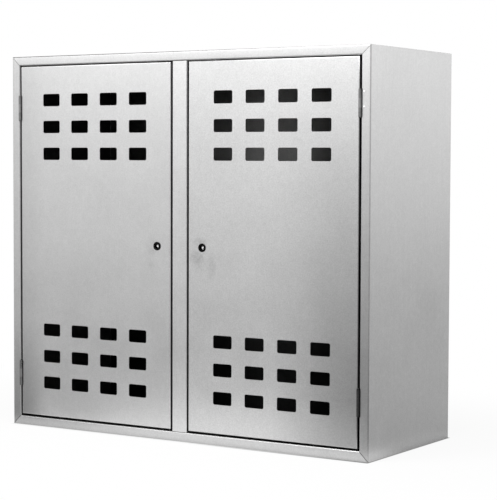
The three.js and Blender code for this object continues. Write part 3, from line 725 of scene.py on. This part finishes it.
def back_spot_welds(weld_metal):
    """Spot welds along the two upright back flanges, which hold the back panel."""
    shape = bmesh.new()
    count = int((BOX_HIGH.z - BOX_LOW.z - SPOT_PITCH) // SPOT_PITCH)
    first = (BOX_LOW.z + BOX_HIGH.z - (count - 1) * SPOT_PITCH) / 2
    for x in (BOX_LOW.x + SPOT_INSET, BOX_HIGH.x - SPOT_INSET):
        for row in range(count):
            spot_weld(shape, Vector((x, BOX_HIGH.y, first + row * SPOT_PITCH)))
    bmesh.ops.remove_doubles(shape, verts=shape.verts, dist=WELD_DISTANCE)
    bmesh.ops.recalc_face_normals(shape, faces=shape.faces)
    welds = new_piece("back_spot_welds", shape, weld_metal)
    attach(welds, "cabinet")


def seen_as_background(tree):
    """1 for what the camera sees directly, in metal or through glass, and 0 for light on the object."""
    rays = add_node(tree, "ShaderNodeLightPath").outputs
    seen = rays["Is Camera Ray"]
    for kind in ("Is Glossy Ray", "Is Transmission Ray"):
        seen = add_node(tree, "ShaderNodeMath", [seen, rays[kind]], operation="MAXIMUM")
    return seen


def first_reflection(tree, first):
    """1 where the surface is seen directly or in one reflection, whose ray depth is first, and 0 after more.

    It keeps the inside and the gaps dark.
    """
    depth = add_node(tree, "ShaderNodeLightPath").outputs["Ray Depth"]
    return add_node(tree, "ShaderNodeMapRange", [depth, first, first + SPAN_TO_DARK, 1, 0])


def round_foot(tree, place, reach, at_foot, beyond):
    """A band of the floor round the foot of the object: at_foot there, and beyond from reach outwards."""
    past = beyond_box(tree, place, BOX_LOW, BOX_HIGH)
    past = add_node(tree, "ShaderNodeVectorMath", [past, (0, 0, 0)], operation="MAXIMUM")
    distance = add_node(tree, "ShaderNodeVectorMath", [past], operation="LENGTH").outputs["Value"]
    return add_node(tree, "ShaderNodeMapRange", [
        distance, 0, reach, at_foot, beyond,
    ], interpolation_type="SMOOTHSTEP")


def paper_in_metal(tree, place):
    """Painted glow of the paper in metal: pool, rear, shade at the front right, strip and contact shadow."""
    light = soft_patch(tree, place, POOL_CENTRE, POOL_RADIUS, POOL_GLOW, FAR_GLOW)
    for patch in (
        soft_patch(tree, place, REAR_CENTRE, REAR_RADIUS, REAR_SHARE, 1),
        soft_patch(tree, place, FRONT_RIGHT_SHADE_CENTRE, FRONT_RIGHT_SHADE_RADIUS, FRONT_RIGHT_SHADE_SHARE, 1),
    ):
        light = add_node(tree, "ShaderNodeMath", [light, patch], operation="MULTIPLY")
    strip = round_foot(tree, place, STRIP_REACH, STRIP_GLOW, 0)
    y = add_node(tree, "ShaderNodeSeparateXYZ", [place]).outputs["Y"]
    rear = add_node(tree, "ShaderNodeMapRange", [y, BOX_LOW.y, 0, 1, STRIP_SHARE_REAR])
    strip = add_node(tree, "ShaderNodeMath", [strip, rear], operation="MULTIPLY")
    light = add_node(tree, "ShaderNodeMath", [light, strip], operation="MAXIMUM")
    contact = round_foot(tree, place, CONTACT_REACH, CONTACT_IN_METAL, 1)
    return add_node(tree, "ShaderNodeMath", [light, contact], operation="MULTIPLY")


def paper_floor():
    """White paper. The camera sees it white; metal sees a painted glow on it, brightest near the doors."""
    material, tree, place = new_material("white_paper")
    x = add_node(tree, "ShaderNodeSeparateXYZ", [place]).outputs["X"]
    contact = add_node(tree, "ShaderNodeMapRange", [x, 0, BOX_HIGH.x, *CONTACT_SHARE])
    camera_ray = add_node(tree, "ShaderNodeLightPath").outputs["Is Camera Ray"]
    glow = add_node(tree, "ShaderNodeMix", {
        "Factor": camera_ray, "A": paper_in_metal(tree, place),
        "B": round_foot(tree, place, CONTACT_LINE, contact, 1),
    })
    reflected = first_reflection(tree, FIRST_ON_PAPER)
    glow = add_node(tree, "ShaderNodeMath", [glow, reflected], operation="MULTIPLY")
    lit = add_node(tree, "ShaderNodeBsdfDiffuse", {"Color": linear(PAPER_COLOUR)})
    white = add_node(tree, "ShaderNodeEmission", {"Color": linear(WHITE), "Strength": glow})
    clear = round_foot(tree, place, PAPER_CLEAR_REACH, PAPER_GLOW_SHARE, 1)
    share = add_node(tree, "ShaderNodeMath", [seen_as_background(tree), clear], operation="MULTIPLY")
    surface = add_node(tree, "ShaderNodeMixShader", [share, lit, white])
    add_node(tree, "ShaderNodeOutputMaterial", {"Surface": surface})
    material.cycles.emission_sampling = "NONE"
    sheet = bmesh.new()
    bmesh.ops.create_grid(sheet, x_segments=1, y_segments=1, size=PAPER_SIZE / 2)
    floor = new_piece("paper_floor", sheet, material)


def studio_surround():
    """White where the camera sees it. Metal sees two soft walls, brightest just above the horizon."""
    world = bpy.data.worlds.new("studio_surround")
    bpy.context.scene.world = world
    world.cycles.sampling_method = "NONE"
    world.use_nodes = True
    tree = world.node_tree
    tree.nodes.clear()
    way = add_node(tree, "ShaderNodeTexCoord").outputs["Generated"]
    _, depth, height = add_node(tree, "ShaderNodeSeparateXYZ", [way]).outputs
    walls = [
        add_node(tree, "ShaderNodeMapRange", rise, interpolation_type="SMOOTHSTEP") for rise in (
            [height, WALL_FOOT, WALL_MIDDLE, WALL_BELOW, WALL_PEAK],
            [height, WALL_MIDDLE, WALL_TOP, WALL_PEAK, WALL_ABOVE],
        )
    ]
    light = add_node(tree, "ShaderNodeMath", walls, operation="MINIMUM")
    along = add_node(tree, "ShaderNodeVectorMath", [way, WALL_DIRECTION], operation="DOT_PRODUCT")
    along = along.outputs["Value"]
    squared = add_node(tree, "ShaderNodeMath", [along, along], operation="MULTIPLY")
    for share in (
        add_node(tree, "ShaderNodeMapRange", [squared, *WALL_SPREAD, WALL_SHARE_ACROSS, 1]),
        add_node(tree, "ShaderNodeMapRange", [depth, *WALL_BEHIND_SPAN, 1, WALL_SHARE_BEHIND]),
        first_reflection(tree, FIRST_ON_WALLS),
    ):
        light = add_node(tree, "ShaderNodeMath", [light, share], operation="MULTIPLY")
    camera_ray = add_node(tree, "ShaderNodeLightPath").outputs["Is Camera Ray"]
    glow = add_node(tree, "ShaderNodeMix", {"Factor": camera_ray, "A": light, "B": 1})
    white = add_node(tree, "ShaderNodeBackground", {"Color": linear(WHITE), "Strength": glow})
    add_node(tree, "ShaderNodeOutputWorld", {"Surface": white})


def studio_lamps():
    """Three plain softboxes, which the camera doesn't see."""
    for name, facts in LAMPS.items():
        light = bpy.data.lights.new(name, "AREA")
        light.shape = "RECTANGLE"
        light.size, light.size_y = facts["size"]
        light.energy = facts["watts"]
        lamp = bpy.data.objects.new(name, light)
        bpy.context.scene.collection.objects.link(lamp)
        lamp.location = facts["place"]
        way = Vector(facts["aim"]) - Vector(facts["place"])
        lamp.rotation_euler = way.to_track_quat("-Z", "Y").to_euler()
        lamp.visible_camera = False


def camera():
    """A long lens from the front right, a little above mid-height."""
    data = bpy.data.cameras.new("camera")
    data.lens = CAMERA_LENS
    data.sensor_width = CAMERA_SENSOR
    eye = bpy.data.objects.new("camera", data)
    bpy.context.scene.collection.objects.link(eye)
    level = Matrix.Rotation(math.pi / 2 + CAMERA_TILT, 4, "X")
    turn = Matrix.Rotation(CAMERA_TURN, 4, "Z")
    roll = Matrix.Rotation(CAMERA_ROLL, 4, "Z")
    eye.matrix_world = Matrix.Translation(CAMERA_PLACE) @ turn @ level @ roll
    bpy.context.scene.camera = eye


camera()
dress_nodes()
smooth_nodes()
weld_metal = bright_weld_metal()
corner_welds(weld_metal)
hinge_beads(weld_metal)
back_spot_welds(weld_metal)
paper_floor()
studio_surround()
studio_lamps()
bpy.context.scene.view_settings.view_transform = "Standard"
